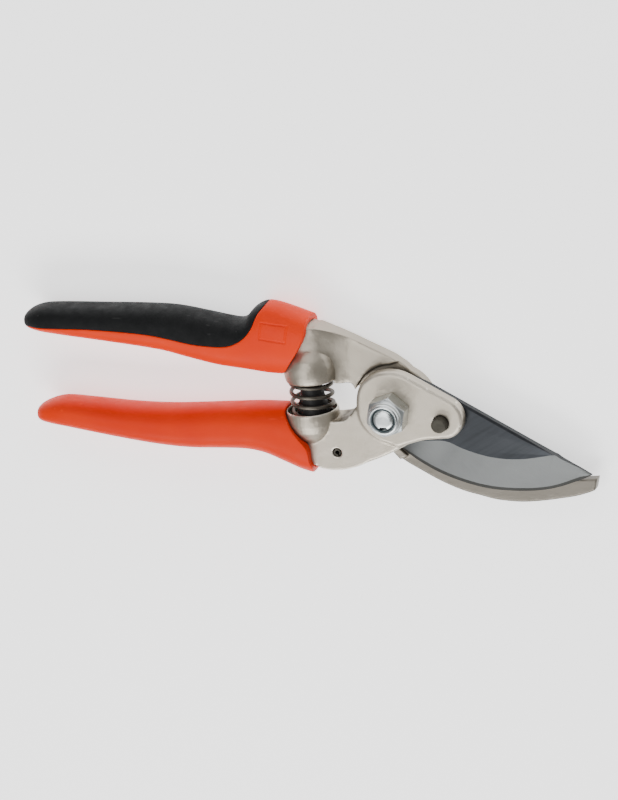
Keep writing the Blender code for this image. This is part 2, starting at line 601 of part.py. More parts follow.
def make_catch():
    """A stamped plate on the far side that turns on the roll pin."""
    hub = Vector(ROLL_PIN_AT)
    ahead = math.radians(CATCH_REST)
    nose = hub + CATCH_REACH * Vector((math.cos(ahead), math.sin(ahead)))
    behind = math.radians(CATCH_REST + 165)
    tab = hub + 6.0 * Vector((math.cos(behind), math.sin(behind)))
    side = CATCH_REST + 90
    outline = arc(nose, 2.2, side - 180, side - 5)
    outline += arc(hub, 4.2, side - 25, side + 20)
    outline += arc(tab, 3.2, side + 20, side + 150)
    outline += arc(hub, 4.2, side + 160, side + 200)
    catch = plate("lock_catch", outline, 0.9, 2.2, STEEL, rounding=0.3, both=True,
                  origin=(hub.x, hub.y, 1.55))
    combine(catch, cylinder("catch_hole_cut", ROLL_PIN_R + FIT, ROLL_PIN_AT, -2, 4, sides=24), "DIFFERENCE")
    return catch


def main():
    for old in list(bpy.data.objects):
        bpy.data.objects.remove(old, do_unlink=True)
    make_blade_lever()
    make_blade()
    make_fasteners()
    make_hook_lever()
    make_lower_grip()
    make_upper_grip()
    make_spring()
    make_buffer()
    make_catch()


main()
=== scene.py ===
"""Looks for the bypass pruning shears: fine surfaces, materials, light and camera."""

import math

import bmesh
import bpy
from mathutils import Matrix, Vector


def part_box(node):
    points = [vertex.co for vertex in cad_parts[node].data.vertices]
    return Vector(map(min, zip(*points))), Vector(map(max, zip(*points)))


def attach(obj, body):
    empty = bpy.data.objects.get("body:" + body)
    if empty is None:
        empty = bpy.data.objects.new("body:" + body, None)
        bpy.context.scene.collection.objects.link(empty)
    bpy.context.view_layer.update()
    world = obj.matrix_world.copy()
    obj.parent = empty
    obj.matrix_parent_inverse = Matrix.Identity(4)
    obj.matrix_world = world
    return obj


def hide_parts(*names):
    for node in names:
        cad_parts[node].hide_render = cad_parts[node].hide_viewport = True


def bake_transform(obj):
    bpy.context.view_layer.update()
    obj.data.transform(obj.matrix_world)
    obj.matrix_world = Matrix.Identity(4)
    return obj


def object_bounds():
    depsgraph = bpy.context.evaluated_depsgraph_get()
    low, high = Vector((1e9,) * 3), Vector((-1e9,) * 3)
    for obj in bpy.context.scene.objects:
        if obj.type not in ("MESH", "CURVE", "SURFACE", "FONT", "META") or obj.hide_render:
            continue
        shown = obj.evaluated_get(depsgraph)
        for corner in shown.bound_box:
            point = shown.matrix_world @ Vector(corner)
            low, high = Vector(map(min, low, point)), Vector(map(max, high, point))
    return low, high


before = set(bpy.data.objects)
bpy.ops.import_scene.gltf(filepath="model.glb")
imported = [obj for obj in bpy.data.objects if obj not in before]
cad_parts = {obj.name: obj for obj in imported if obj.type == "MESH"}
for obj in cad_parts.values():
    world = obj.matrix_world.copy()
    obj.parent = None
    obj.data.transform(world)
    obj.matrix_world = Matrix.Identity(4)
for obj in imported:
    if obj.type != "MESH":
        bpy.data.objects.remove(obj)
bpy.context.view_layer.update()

MM = 0.001                      # outlines below are in millimetres, meshes in metres
SHARP = math.radians(35)        # a turned or extruded piece's edges stay sharp past this angle
BLADE_SHARP = math.radians(12)  # the blade's ground faces meet at flatter angles
CUT_BOTTOM = -5.0               # a cutter reaches from here to CUT_TOP, past everything
CUT_TOP = 25.0

# Heights of the flat faces, and the round pieces on the pivot's axis
EAR_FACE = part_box("blade_lever")[1].z / MM
LEVER_FACE = 15.5
MIDDLE = 10.0                   # height of the levers' and grips' middle plane
NUT_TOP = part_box("pivot_nut")[1].z / MM
NUT_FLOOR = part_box("pivot_nut")[0].z / MM
BLADE_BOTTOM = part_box("blade")[0].z / MM
BLADE_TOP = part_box("blade")[1].z / MM
HEAD_TOP = 3.0
BOLT_R = 4.0
HOLE_R = 4.3
HEX_ACROSS = 13.0
HEX_TURN = 17.0                 # direction of the nut's first corner, degrees
FIT = 0.3
EDGE_ANGLE = 58.7               # direction that the blade's straight back faces
RIVET_AT = (18.0, -4.2)
RIVET_R = 2.7
RIVET_FLOOR = 8.85
ROLL_PIN_AT = (-21.5, -15.4)
ROLL_PIN_R = 1.5
WASHER_R = 8.5

# Spring and the cups that hold it
LOWER_CUP_X = -30.7
UPPER_CUP_X = -29.5
LOWER_CUP_FLOOR = -5.5
UPPER_CUP_FLOOR = 16.5
SPRING_X = -30.1
SPRING_R = 7.2
WIRE_R = 0.75
SPRING_TURNS = 6.5
SPRING_GAP = 0.3                # between the spring's ends and the cups' floors
CLOSED_GAP = 0.25               # between the wires of its closed end turns
LOWER_CUP_RIM = -0.4
UPPER_CUP_RIM = 10.3


# ---------------------------------------------------------------- curves

def arc(centre, radius, start, stop, step=2.0):
    """Points on an arc in the XY plane, angles in degrees, both ends included."""
    count = max(2, int(abs(stop - start) / step) + 1)
    points = []
    for i in range(count + 1):
        angle = math.radians(start + (stop - start) * i / count)
        points.append((centre[0] + radius * math.cos(angle), centre[1] + radius * math.sin(angle)))
    return points


def spline(knots, per_span=6):
    """A smooth curve through the knots, without its last point."""
    points = []
    last = len(knots) - 1
    for i in range(last):
        p1 = Vector(knots[i])
        p2 = Vector(knots[i + 1])
        p0 = Vector(knots[i - 1]) if i > 0 else 2 * p1 - p2
        p3 = Vector(knots[i + 2]) if i + 2 <= last else 2 * p2 - p1
        for k in range(per_span):
            t = k / per_span
            pull_start = (p2 - p0) / 2 - (p2 - p1)
            pull_end = (p3 - p1) / 2 - (p2 - p1)
            point = p1 + (p2 - p1) * t + pull_start * (t * (1 - t) ** 2) - pull_end * (t * t * (1 - t))
            points.append(tuple(point))
    return points


def height_at(knots, x):
    """The value at x of the smooth curve through (x, value) knots, which rise in x."""
    if x <= knots[0][0]:
        return knots[0][1]
    if x >= knots[-1][0]:
        return knots[-1][1]
    i = max(k for k in range(len(knots) - 1) if knots[k][0] <= x)
    slopes = []
    for k in (i, i + 1):
        before = knots[max(k - 1, 0)]
        after = knots[min(k + 1, len(knots) - 1)]
        slopes.append((after[1] - before[1]) / (after[0] - before[0]))
    (x1, y1), (x2, y2) = knots[i], knots[i + 1]
    t = (x - x1) / (x2 - x1)
    blend = t * t * (3 - 2 * t)
    bend = (x2 - x1) * (slopes[0] * t * (1 - t) ** 2 - slopes[1] * t * t * (1 - t))
    return y1 + (y2 - y1) * blend + bend


# ---------------------------------------------------------------- mesh building

def finish_mesh(name, bm, outward=True):
    """Turn a bmesh in millimetres into an object."""
    if outward:
        bmesh.ops.recalc_face_normals(bm, faces=bm.faces)
    bmesh.ops.scale(bm, verts=bm.verts, vec=(MM, MM, MM))
    mesh = bpy.data.meshes.new(name)
    bm.to_mesh(mesh)
    bm.free()
    mesh.shade_smooth()
    mesh.set_sharp_from_angle(angle=SHARP)
    piece = bpy.data.objects.new(name, mesh)
    bpy.context.collection.objects.link(piece)
    return piece


def add_face(bm, corners, slot=0):
    """A face through the corners, where some of them may be the same point."""
    unique = list(dict.fromkeys(corners))
    if len(unique) > 2:
        face = bm.faces.new(unique)
        face.material_index = slot


def loft(rings):
    """A bmesh through rings of equal point count, capped at both ends."""
    bm = bmesh.new()
    rows = [[bm.verts.new(point) for point in ring] for ring in rings]
    count = len(rows[0])
    for row, after in zip(rows, rows[1:]):
        for i in range(count):
            j = (i + 1) % count
            bm.faces.new((row[i], row[j], after[j], after[i]))
    bm.faces.new(list(reversed(rows[0])))
    bm.faces.new(rows[-1])
    return bm


def prism(name, outline, bottom, top):
    """An outline in the XY plane, extruded between two heights."""
    bm = bmesh.new()
    low = [bm.verts.new((x, y, bottom)) for x, y in outline]
    high = [bm.verts.new((x, y, top)) for x, y in outline]
    bm.faces.new(list(reversed(low)))
    bm.faces.new(high)
    for i in range(len(outline)):
        j = (i + 1) % len(outline)
        bm.faces.new((low[i], low[j], high[j], high[i]))
    return finish_mesh(name, bm)


def turned(name, profile, centre=(0, 0), axis="Z", sides=128):
    """Turn a profile of (radius, distance along the axis) points; it starts and ends on the axis."""
    bm = bmesh.new()
    rows = []
    for radius, along in profile:
        count = 1 if radius == 0 else sides
        row = []
        for i in range(count):
            angle = 2 * math.pi * i / sides
            u = radius * math.cos(angle)
            v = radius * math.sin(angle)
            if axis == "Z":
                row.append(bm.verts.new((centre[0] + u, centre[1] + v, along)))
            else:
                row.append(bm.verts.new((centre[0] + u, along, centre[1] + v)))
        rows.append(row)
    for row, after in zip(rows, rows[1:]):
        for i in range(sides):
            j = (i + 1) % sides
            inner, outer = len(row), len(after)
            add_face(bm, (row[i % inner], row[j % inner], after[j % outer], after[i % outer]))
    return finish_mesh(name, bm)


def turned_ring(name, profile, sides):
    """A closed profile of (radius, height) points, turned round the pivot's axis."""
    bm = bmesh.new()
    rows = []
    for i in range(sides):
        angle = 2 * math.pi * i / sides
        rows.append([bm.verts.new((r * math.cos(angle), r * math.sin(angle), z)) for r, z in profile])
    for i in range(sides):
        row, after = rows[i], rows[(i + 1) % sides]
        for k in range(len(profile)):
            j = (k + 1) % len(profile)
            bm.faces.new((row[k], row[j], after[j], after[k]))
    return finish_mesh(name, bm)


def hexagon():
    """The outline of the nut and of the bolt's head."""
    corner = HEX_ACROSS / math.sqrt(3)
    outline = []
    for k in range(6):
        angle = math.radians(HEX_TURN + 60 * k)
        outline.append((corner * math.cos(angle), corner * math.sin(angle)))
    return outline


def combine(piece, other, operation):
    """Cut, join or intersect piece with other, which is used up."""
    modifier = piece.modifiers.new(operation.lower(), "BOOLEAN")
    modifier.operation = operation
    modifier.solver = "EXACT"
    modifier.object = other
    settle(piece)
    bpy.data.objects.remove(other, do_unlink=True)


def drill(piece, radius, centre=(0, 0)):
    """Cut a round hole through a piece, along Z."""
    profile = [(0, CUT_BOTTOM), (radius, CUT_BOTTOM), (radius, CUT_TOP), (0, CUT_TOP)]
    combine(piece, turned("cut", profile, centre), "DIFFERENCE")


def settle(piece):
    """Put the result of a piece's modifiers into its mesh."""
    bpy.context.view_layer.update()
    ready = piece.evaluated_get(bpy.context.evaluated_depsgraph_get())
    mesh = bpy.data.meshes.new_from_object(ready)
    piece.modifiers.clear()
    old = piece.data
    piece.data = mesh
    bpy.data.meshes.remove(old)


def soften(piece, voxel, rounds, keep=1.0):
    """Remesh a piece finely and smooth it, so that its corners are rounded like a forging's.

    voxel is the remesh's cell in millimetres, keep the share of the faces that stay.
    """
    remesh = piece.modifiers.new("remesh", "REMESH")
    remesh.mode = "VOXEL"
    remesh.voxel_size = voxel * MM
    smooth = piece.modifiers.new("smooth", "SMOOTH")
    smooth.factor = 0.5
    smooth.iterations = rounds
    if keep < 1.0:
        decimate = piece.modifiers.new("decimate", "DECIMATE")
        decimate.ratio = keep
    settle(piece)
    piece.data.shade_smooth()
    return piece


FACING_UP = 0.55                # a surface counts as an upper face from this Z of its direction
FADE = 2.0                      # the smoothing comes in over this distance from the region's sides


def smooth_face(piece, region, rounds):
    """Smooth only the upper face's vertices that lie inside a box of two corners in millimetres."""
    low, high = region
    group = piece.vertex_groups.new(name="face")
    for vert in piece.data.vertices:
        if vert.normal.z < FACING_UP:
            continue
        point = vert.co / MM
        inside = min(min(point[k] - low[k], high[k] - point[k]) for k in range(3))
        if inside > 0:
            group.add([vert.index], min(1.0, inside / FADE), "REPLACE")
    smooth = piece.modifiers.new("face", "SMOOTH")
    smooth.factor = 0.8
    smooth.iterations = rounds
    smooth.vertex_group = group.name
    settle(piece)
    piece.data.shade_smooth()
    piece.vertex_groups.clear()


def add_solid(piece, other):
    """Put another closed solid into a piece; the remesh then makes one skin round both."""
    bm = bmesh.new()
    bm.from_mesh(piece.data)
    bm.from_mesh(other.data)
    bm.to_mesh(piece.data)
    bm.free()
    bpy.data.objects.remove(other, do_unlink=True)


def copy_of(node, name):
    """A fresh object with a copy of a CAD node's mesh."""
    source = bpy.data.objects[node]
    mesh = source.data.copy()
    mesh.materials.clear()
    mesh.transform(source.matrix_world)
    piece = bpy.data.objects.new(name, mesh)
    bpy.context.collection.objects.link(piece)
    return piece


def place(piece, body, slot, material, *nodes):
    """Give a piece its material, its body and the CAD nodes that it stands for."""
    if material is not None:
        piece.data.materials.clear()
        piece.data.materials.append(material)
    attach(piece, body)
    if nodes:
        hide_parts(*nodes)
    return piece


# ---------------------------------------------------------------- materials

class Graph:
    """A small helper to lay out a material's nodes."""

    def __init__(self, name, **settings):
        self.material = bpy.data.materials.new(name)
        self.material.use_nodes = True
        self.tree = self.material.node_tree
        self.shader = self.tree.nodes["Principled BSDF"]
        for key, value in settings.items():
            self.shader.inputs[key.replace("_", " ")].default_value = value
        self.coords = self.tree.nodes.new("ShaderNodeTexCoord")
        self.place = self.coords.outputs["Object"]

    def link(self, source, target):
        self.tree.links.new(source, target)

    def along(self, direction, stretch):
        """Coordinates drawn out stretch times along a direction in the XY plane, in radians."""
        turn = self.tree.nodes.new("ShaderNodeVectorRotate")
        turn.rotation_type = "Z_AXIS"
        turn.inputs["Angle"].default_value = -direction
        self.link(self.place, turn.inputs["Vector"])
        mapping = self.tree.nodes.new("ShaderNodeMapping")
        mapping.inputs["Scale"].default_value = (1 / stretch, 1.0, 1.0)
        self.link(turn.outputs["Vector"], mapping.inputs["Vector"])
        return mapping.outputs["Vector"]

    def noise(self, scale, detail=4.0, source=None, roughness=0.55):
        """Noise with so many bumps per metre."""
        source = source or self.place
        node = self.tree.nodes.new("ShaderNodeTexNoise")
        node.inputs["Scale"].default_value = scale
        node.inputs["Detail"].default_value = detail
        node.inputs["Roughness"].default_value = roughness
        self.link(source, node.inputs["Vector"])
        return node.outputs["Fac"]

    def remap(self, source, low, high, to_low=0.0, to_high=1.0):
        """Carry the range low to high over to to_low to to_high, and hold it there."""
        node = self.tree.nodes.new("ShaderNodeMapRange")
        node.inputs["From Min"].default_value = low
        node.inputs["From Max"].default_value = high
        node.inputs["To Min"].default_value = to_low
        node.inputs["To Max"].default_value = to_high
        self.link(source, node.inputs["Value"])
        return node.outputs["Result"]

    def math(self, operation, first, second):
        """One step of arithmetic on two sources or plain numbers."""
        node = self.tree.nodes.new("ShaderNodeMath")
        node.operation = operation
        for source, target in ((first, node.inputs[0]), (second, node.inputs[1])):
            if isinstance(source, (int, float)):
                target.default_value = source
            else:
                self.link(source, target)
        return node.outputs["Value"]

    def mix(self, share, first, second):
        """A colour between first and second."""
        node = self.tree.nodes.new("ShaderNodeMix")
        node.data_type = "RGBA"
        self.link(share, node.inputs["Factor"])
        for source, target in ((first, node.inputs[6]), (second, node.inputs[7])):
            if isinstance(source, tuple):
                target.default_value = (*source, 1.0)
            else:
                self.link(source, target)
        return node.outputs[2]

    def edges(self, low=0.505, high=0.54):
        """1 along outer edges, 0 elsewhere."""
        geometry = self.tree.nodes.new("ShaderNodeNewGeometry")
        return self.remap(geometry.outputs["Pointiness"], low, high)

    def hollows(self, low=0.495, high=0.46):
        """1 in inner corners, 0 elsewhere."""
        geometry = self.tree.nodes.new("ShaderNodeNewGeometry")
        return self.remap(geometry.outputs["Pointiness"], low, high)

    def height(self):
        """The place's X, Y and Z, in metres."""
        return self.split(self.place)

    def facing(self):
        """The X, Y and Z of the surface's direction."""
        return self.split(self.coords.outputs["Normal"])

    def split(self, source):
        node = self.tree.nodes.new("ShaderNodeSeparateXYZ")
        self.link(source, node.inputs["Vector"])
        return node.outputs

    def colour(self, source):
        self.link(source, self.shader.inputs["Base Color"])

    def rough(self, source):
        self.link(source, self.shader.inputs["Roughness"])

    def bump(self, source, depth, strength=1.0, after=None):
        """Raise the surface by source times depth, in metres."""
        node = self.tree.nodes.new("ShaderNodeBump")
        node.inputs["Strength"].default_value = strength
        node.inputs["Distance"].default_value = depth
        self.link(source, node.inputs["Height"])
        if after is not None:
            self.link(after, node.inputs["Normal"])
        self.link(node.outputs["Normal"], self.shader.inputs["Normal"])
        return node.outputs["Normal"]


NICKEL_DARK = (0.40, 0.355, 0.285)
NICKEL_LIGHT = (0.51, 0.465, 0.39)
NICKEL_EDGE_HIGHLIGHT = (0.70, 0.66, 0.58)
PAINTED_SHADE_BROWN = (0.07, 0.052, 0.032)
CORNER_TONE = (0.13, 0.10, 0.065)
HOOK_START_Y = -0.014           # the hook's rough cast surface fades in from here, in metres
HOOK_FULL_Y = -0.021


def shaded(colour, share):
    """A colour with only a share of its light."""
    return tuple(share * channel for channel in colour)


def nickel_material(name, shade=1.0, cast=None, shaded_span=None):
    """Satin nickel over a forged surface: faint clouds, painted highlights on the edges, darker inner
    corners.

    cast is the share of the colour left on the rough hook, below the pivot, and a piece that has it
    has no bright edges. The last argument is a range of x in metres where the surfaces that face the
    other handle get painted shade, dark brown in uneven patches.
    """
    g = Graph(name, Metallic=0.85, Roughness=0.4)
    clouds = g.noise(160, 5)
    grain = g.noise(1400, 3)
    base = g.mix(clouds, shaded(NICKEL_DARK, shade), shaded(NICKEL_LIGHT, shade))
    if cast is not None:
        below = g.remap(g.height()["Y"], HOOK_START_Y, HOOK_FULL_Y)
        base = g.mix(below, base, shaded(NICKEL_LIGHT, cast))
    if shaded_span is not None:
        # Painted shade: within the range of x, faces that look towards the other handle turn dark brown in
        # uneven patches
        facing = g.remap(g.facing()["Y"], 0.35, 0.75)
        middle = sum(shaded_span) / 2
        width = shaded_span[1] - shaded_span[0]
        distance = g.math("ABSOLUTE", g.math("SUBTRACT", g.height()["X"], middle), 0.0)
        near = g.remap(distance, width / 2, width / 3)
        patches = g.remap(g.noise(500, 4), 0.3, 0.6, 0.55, 1.0)
        shade_mask = g.math("MULTIPLY", g.math("MULTIPLY", facing, near), patches)
        base = g.mix(shade_mask, base, PAINTED_SHADE_BROWN)
    # Inner corners turn darker and browner, in uneven patches
    corner_darkening = g.math("MULTIPLY", g.hollows(), g.remap(g.noise(260, 4), 0.35, 0.6, 0.35, 1.0))
    finish = g.mix(corner_darkening, base, CORNER_TONE)
    # Painted highlight along the outer edges; the rough hook has none
    if cast is None:
        finish = g.mix(g.edges(), finish, NICKEL_EDGE_HIGHLIGHT)
    g.colour(finish)
    g.rough(g.remap(clouds, 0.3, 0.7, 0.36, 0.5))
    fine = g.bump(grain, 0.00003)
    g.bump(clouds, 0.0003, 1.0, fine)
    return g.material


def ground_material(name, dark, light, roughness, direction, scratch=0.3, scale=900, spread=0.08):
    """Machine-ground steel with fine straight scratches along a direction, in radians.

    scratch is their strength, scale how many there are in a metre, spread how unevenly they shine.
    """
    g = Graph(name, Metallic=0.8, Roughness=roughness)
    fine = g.noise(scale, 2, g.along(direction, 16))
    broad = g.noise(120, 3)
    share = g.math("ADD", g.math("MULTIPLY", fine, 0.6), g.math("MULTIPLY", broad, 0.4))
    g.colour(g.mix(g.remap(share, 0.38, 0.62), dark, light))
    g.rough(g.remap(fine, 0.3, 0.7, roughness - spread, roughness + spread))
    g.bump(fine, 0.00002, scratch)
    return g.material


def zinc_material():
    """Bright zinc plating, slightly cloudy."""
    g = Graph("bright_zinc", Metallic=1.0, Roughness=0.22)
    clouds = g.noise(190, 4)
    g.colour(g.mix(g.remap(clouds, 0.35, 0.65), (0.5, 0.53, 0.53), (0.62, 0.65, 0.65)))
    g.rough(g.remap(clouds, 0.3, 0.7, 0.24, 0.34))
    g.bump(g.noise(500, 2), 0.00001)
    return g.material


def plain_material(name, dark, light, roughness, metallic, scale, depth):
    """Cloudy colour and roughness over a fine bump."""
    g = Graph(name, Metallic=metallic, Roughness=roughness)
    clouds = g.noise(scale, 4)
    g.colour(g.mix(g.remap(clouds, 0.35, 0.65), dark, light))
    g.rough(g.remap(clouds, 0.3, 0.7, roughness - 0.07, roughness + 0.07))
    g.bump(g.noise(scale * 3, 3), depth)
    return g.material


def orange_material(name, dark, light, depth):
    """Satin orange plastic with a very fine grain and slightly brighter outer edges."""
    g = Graph(name, Roughness=0.42)
    g.shader.inputs["Specular IOR Level"].default_value = 0.1
    clouds = g.noise(45, 3)
    base = g.mix(g.remap(clouds, 0.35, 0.65), dark, light)
    g.colour(g.mix(g.math("MULTIPLY", g.edges(0.52, 0.6), 0.35), base, (0.9, 0.06, 0.01)))
    g.rough(g.remap(g.noise(220, 4), 0.3, 0.7, 0.36, 0.5))
    fine = g.bump(g.noise(2600, 2), depth)
    g.bump(g.noise(110, 2), 0.00012, 1.0, fine)
    return g.material


def pad_material():
    """Soft black moulded rubber: matt, with a fine leathery grain."""
    g = Graph("soft_black_pad", Roughness=0.62)
    clouds = g.noise(60, 3)
    base = g.mix(clouds, (0.003, 0.0034, 0.0038), (0.006, 0.0066, 0.007))
    g.shader.inputs["Specular IOR Level"].default_value = 0.16
    g.colour(g.mix(g.math("MULTIPLY", g.edges(0.52, 0.6), 0.4), base, (0.03, 0.03, 0.03)))
    g.rough(g.remap(g.noise(300, 4), 0.3, 0.7, 0.52, 0.72))
    g.bump(g.noise(1700, 4, None, 0.7), 0.00009)
    return g.material


def wire_material():
    """Dark oiled spring wire with drawing marks."""
    g = Graph("spring_wire", Metallic=0.85, Roughness=0.38)
    clouds = g.noise(350, 4)
    g.colour(g.mix(g.remap(clouds, 0.35, 0.65), (0.075, 0.066, 0.054), (0.13, 0.118, 0.1)))
    g.rough(g.remap(clouds, 0.3, 0.7, 0.32, 0.48))
    g.bump(g.noise(2200, 2), 0.00002)
    return g.material


nickel = nickel_material("satin_nickel", shaded_span=(-0.0215, -0.0095))
nickel_cast = nickel_material("cast_nickel", shade=0.87, cast=0.32)
zinc = zinc_material()
blade_flat = ground_material("blade_flat", (0.030, 0.033, 0.037), (0.036, 0.039, 0.044), 0.38,
                             direction=0.5, scratch=0.1)
blade_bevel = ground_material("blade_bevel", (0.082, 0.085, 0.085), (0.09, 0.094, 0.093), 0.4,
                              direction=-1.0, scratch=0.05, scale=2200, spread=0.03)
# The honed land's near-black colour is painted shade: the narrow strip turns away from the light
blade_land_shade = ground_material("blade_land_shade", (0.024, 0.024, 0.022), (0.036, 0.036, 0.034), 0.5, direction=0.0)
blade_side = ground_material("blade_side_steel", (0.015, 0.017, 0.019), (0.025, 0.027, 0.030), 0.45,
                             direction=0.0)
rivet_dark = plain_material("rivet_dark", (0.035, 0.031, 0.023), (0.052, 0.047, 0.036), 0.5,
                            metallic=0.6, scale=500, depth=0.00006)
# The insert's dark blue-grey is painted shade: it stands for the shadow in the nut collar's mouth round the
# bolt's end
nylon = plain_material("nylon_painted_shade", (0.06, 0.085, 0.095), (0.09, 0.12, 0.13), 0.5,
                       metallic=0.0, scale=500, depth=0.00003)
buffer_black = plain_material("buffer_rubber", (0.008, 0.008, 0.008), (0.016, 0.016, 0.016), 0.6,
                              metallic=0.0, scale=400, depth=0.00006)
sleeve_orange = orange_material("sleeve_orange", (0.66, 0.024, 0.0), (0.71, 0.032, 0.0), 0.00002)
shell_orange = orange_material("shell_orange", (0.76, 0.030, 0.0), (0.82, 0.038, 0.0), 0.00003)
pad_black = pad_material()
wire_dark = wire_material()


# ---------------------------------------------------------------- levers

NECK_END = -25.8                # the neck's end towards the handle
NECK_SLOPE = 0.2                # rise of its upper face towards the handle
NECK_REGION = ((-33.0, 8.0, 9.0), (-3.0, 29.5, 19.0))
# Each forging runs on a little way under its grip's front edge, between these heights
UNDER_SLEEVE_FLOOR = 3.2
UNDER_COLLAR_FLOOR = 5.0
UNDER_COLLAR_TOP = 14.7
UNDER_SLEEVE = [(-28, -6), (-33.0, -8), (-33.0, -12), (-32.6, -18), (-31.6, -19.8), (-28.5, -20.6),
                (-26, -16)]
UNDER_COLLAR = [(NECK_END, 30.3), (-29.5, 31.6), (-30.8, 27.5), (-33.5, 22.5), (-34.5, 19), (-30, 14),
                (NECK_END, 12.5)]


def make_blade_lever():
    """The lower forging: ear plate, spring cup and the stub under its sleeve."""
    lever = copy_of("blade_lever", "blade_lever_forging")
    add_solid(lever, prism("under_sleeve", UNDER_SLEEVE, UNDER_SLEEVE_FLOOR, LEVER_FACE))
    return soften(lever, voxel=0.28, rounds=10, keep=0.6)


def make_hook_lever():
    """The upper forging: hook, hub, neck, spring cup and the stub under its collar."""
    lever = copy_of("hook_lever", "hook_lever_forging")
    filler = prism("under_collar", UNDER_COLLAR, UNDER_COLLAR_FLOOR, UNDER_COLLAR_TOP)
    for vert in filler.data.vertices:
        if vert.co.z > MIDDLE * MM:
            vert.co.z += NECK_SLOPE * (NECK_END * MM - vert.co.x)
    add_solid(lever, filler)
    soften(lever, voxel=0.28, rounds=14)
    smooth_face(lever, NECK_REGION, rounds=90)
    return lever


place(make_blade_lever(), "blade_side", "lever_steel", nickel, "blade_lever")
place(make_hook_lever(), "hook_side", "lever_steel", nickel_cast, "hook_lever")
catch = soften(copy_of("lock_catch", "lock_catch_plate"), voxel=0.12, rounds=4, keep=0.5)
place(catch, "catch", "lever_steel", nickel, "lock_catch")


# ---------------------------------------------------------------- blade

CUTTING_EDGE = [(0.8, -16.4), (3.4, -18.7), (7.0, -21.4), (12, -24.5), (17, -26.9), (22, -28.8),
                (27, -30.3), (32, -31.3), (37, -31.8), (42, -32.0), (47, -31.9), (52, -31.4),
                (57, -30.3), (62, -28.7), (66, -27.3), (69.0, -25.9)]
BEVEL_TOP = [(-2.6, -12.3), (4, -12.6), (10, -12.4), (17.5, -12.6), (23, -15.1), (28, -17.0), (33, -18.4),
             (38, -19.1), (43, -19.3), (48, -18.9), (53, -18.2), (56.5, -17.8), (59, -19.5), (62, -21.4),
             (65.5, -23.5), (68.7, -25.6)]
FLAT_KNOTS = 12                 # the first knots of BEVEL_TOP lie on the blade's flat face
SPINE_DISTANCE = 14.1           # from the pivot to the straight back
SPINE_POINTS = 12
SPINE_START = 8.0               # the straight back starts so far along from the pivot
SPINE_TAPER = 12.0              # its chamfer runs out over this length at the tip
HEEL_R = 13.4                   # round end about the pivot
HEEL_END = 252                  # degrees
HEEL_CHAMFER = 0.3
EDGE_TOP = BLADE_BOTTOM + 0.35
TIP_TOP = BLADE_BOTTOM + 0.7
BLADE_SPANS = 8
BEVEL_STEPS = 8
HOLLOW = 0.12                   # depth of the hollow grind
FULL_HOLLOW_RISE = 1.5          # it is shallower where the bevel rises less than this
LAND = 1.25                     # width of the honed strip along the cutting edge
SPINE_CHAMFER = 0.7
# The blade's materials, by slot
FLAT_SLOT = 0
BEVEL_SLOT = 1
LAND_SLOT = 2
SIDE_SLOT = 3


def bevel_profile(low, high, share):
    """A point on the bevel: share 0 on the edge, 1 at its top; slightly hollow ground."""
    point = low.lerp(high, share)
    point.z -= HOLLOW * math.sin(math.pi * share) * min(1.0, (high.z - low.z) / FULL_HOLLOW_RISE)
    return point


def bevel_rows(bm, lower, upper, flat_count):
    """Rows of vertices across the bevel, each from the edge's underside to the bevel's top."""
    rows = []
    for i, ((x1, y1), (x2, y2)) in enumerate(zip(lower, upper)):
        top = BLADE_TOP
        if i >= flat_count:
            share = (i - flat_count + 1) / (len(upper) - flat_count)
            top = BLADE_TOP + (TIP_TOP - BLADE_TOP) * share
        low = Vector((x1, y1, EDGE_TOP))
        high = Vector((x2, y2, top))
        width = max((high.xy - low.xy).length, 0.01)
        shares = [0.0, min(LAND / width, 0.5)] + [k / BEVEL_STEPS for k in range(2, BEVEL_STEPS + 1)]
        row = [Vector((x1, y1, BLADE_BOTTOM))]
        row += [bevel_profile(low, high, share) for share in sorted(shares)]
        rows.append([bm.verts.new(point) for point in row])
    return rows


def back_line(flat_end):
    """Points along the straight back and round the heel: place, outward direction, chamfer."""
    angle = math.radians(EDGE_ANGLE)
    across = Vector((math.cos(angle), math.sin(angle)))
    ahead = Vector((math.sin(angle), -math.cos(angle)))
    reach = flat_end.dot(ahead)
    line = []
    for k in range(1, SPINE_POINTS + 1):
        along = reach - (reach - SPINE_START) * k / SPINE_POINTS
        taper = max(0.0, min(1.0, (reach - along) / SPINE_TAPER))
        line.append((across * SPINE_DISTANCE + ahead * along, across, SPINE_CHAMFER * taper))
    for x, y in arc((0, 0), HEEL_R, EDGE_ANGLE + 6, HEEL_END):
        line.append((Vector((x, y)), Vector((x, y)).normalized(), HEEL_CHAMFER))
    return line


